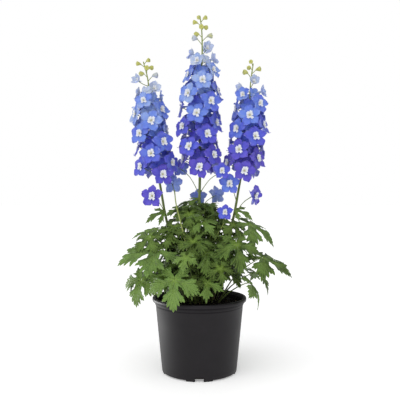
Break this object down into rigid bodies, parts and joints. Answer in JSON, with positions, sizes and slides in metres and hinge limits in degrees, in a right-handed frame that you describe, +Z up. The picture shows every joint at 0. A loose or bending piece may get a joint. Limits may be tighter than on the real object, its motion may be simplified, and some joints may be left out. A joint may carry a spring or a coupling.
{
  "type": "potted delphinium",
  "caption": "Potted garden delphinium in flower: tall violet-blue racemes with closed buds on top, over a mound of deeply cut palmate leaves in a tapered nursery pot.",
  "frame": {"origin": "centre of the flat boss under the pot, on the surface that it stands on", "axes": "+Z up along the pot; -Y to the front of the plant; +X to the right as seen from the front"},
  "size_m": [0.3691, 0.3054, 0.796],
  "materials": {
    "pot": "satin, injection moulded",
    "compost": "matt, moist peaty crumbs",
    "stem": "satin, finely ribbed and downy",
    "leaf": "satin, veined",
    "petal": "soft satin"
  },
  "bodies": {
    "root": {"stem_centre": "stem", "raceme_centre": "petal", "stem_left": "stem", "raceme_left": "petal", "stem_right": "stem", "raceme_right": "petal", "shoot_side_left": "stem", "shoot_side_front": "stem", "floret_low_left": "petal", "floret_side_right": "petal", "floret_low_front": "petal", "floret_middle_left": "petal", "floret_upper_left": "petal", "floret_middle_right": "petal", "floret_upper_right": "petal", "floret_back_right": "petal", "floret_back_left": "petal", "leaf_left_large": "leaf", "leaf_left_low": "leaf", "leaf_left_folded": "leaf", "leaf_front_left": "leaf", "leaf_front_bright": "leaf", "leaf_front_centre": "leaf", "leaf_front_low": "leaf", "leaf_right_large": "leaf", "leaf_right_outer": "leaf", "leaf_right_upper": "leaf", "leaf_right_low": "leaf", "leaf_middle_right": "leaf", "leaf_middle_left": "leaf", "leaf_top_centre": "leaf", "leaf_top_left": "leaf", "leaf_top_right": "leaf", "leaf_left_upper": "leaf", "leaf_left_high": "leaf", "leaf_back_low_1": "leaf", "leaf_back_low_2": "leaf", "leaf_back_low_3": "leaf", "leaf_back_low_4": "leaf", "leaf_back_low_5": "leaf", "leaf_back_high_1": "leaf", "leaf_back_high_2": "leaf", "leaf_back_high_3": "leaf", "leaf_back_crown_1": "leaf", "leaf_back_crown_2": "leaf", "soil": "compost", "pot": "pot"}
  },
  "joints": []
}
